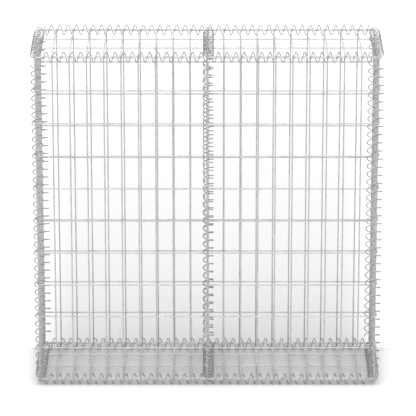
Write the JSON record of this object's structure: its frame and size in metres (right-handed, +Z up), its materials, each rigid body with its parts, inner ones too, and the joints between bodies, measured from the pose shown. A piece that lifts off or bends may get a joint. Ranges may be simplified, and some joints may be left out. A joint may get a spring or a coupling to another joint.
{
  "type": "gabion basket",
  "caption": "Empty box of galvanised welded wire mesh with lid, base and middle partition, laced along every edge with spiral binders, to be filled with stone as a wall block.",
  "frame": {"origin": "on the ground under the middle of the basket", "axes": "+X along the basket's length to the right as seen from the front, +Y to the back, +Z up; the front faces -Y"},
  "size_m": [1.034, 0.3374, 1.034],
  "materials": {
    "mesh_wire": "galvanised, matt grey zinc",
    "spiral_wire": "galvanised, drawn bright"
  },
  "bodies": {
    "root": {"front_panel": "mesh_wire", "back_panel": "mesh_wire", "left_side_panel": "mesh_wire", "right_side_panel": "mesh_wire", "middle_partition": "mesh_wire", "lid_long_wires": "mesh_wire", "lid_cross_wires": "mesh_wire", "base_panel": "mesh_wire", "top_front_spiral": "spiral_wire", "top_back_spiral": "spiral_wire", "bottom_front_spiral": "spiral_wire", "bottom_back_spiral": "spiral_wire", "top_left_spiral": "spiral_wire", "top_middle_spiral": "spiral_wire", "top_right_spiral": "spiral_wire", "bottom_left_spiral": "spiral_wire", "bottom_middle_spiral": "spiral_wire", "bottom_right_spiral": "spiral_wire", "front_left_spiral": "spiral_wire", "front_middle_spiral": "spiral_wire", "front_right_spiral": "spiral_wire", "back_left_spiral": "spiral_wire", "back_middle_spiral": "spiral_wire", "back_right_spiral": "spiral_wire"}
  },
  "joints": []
}
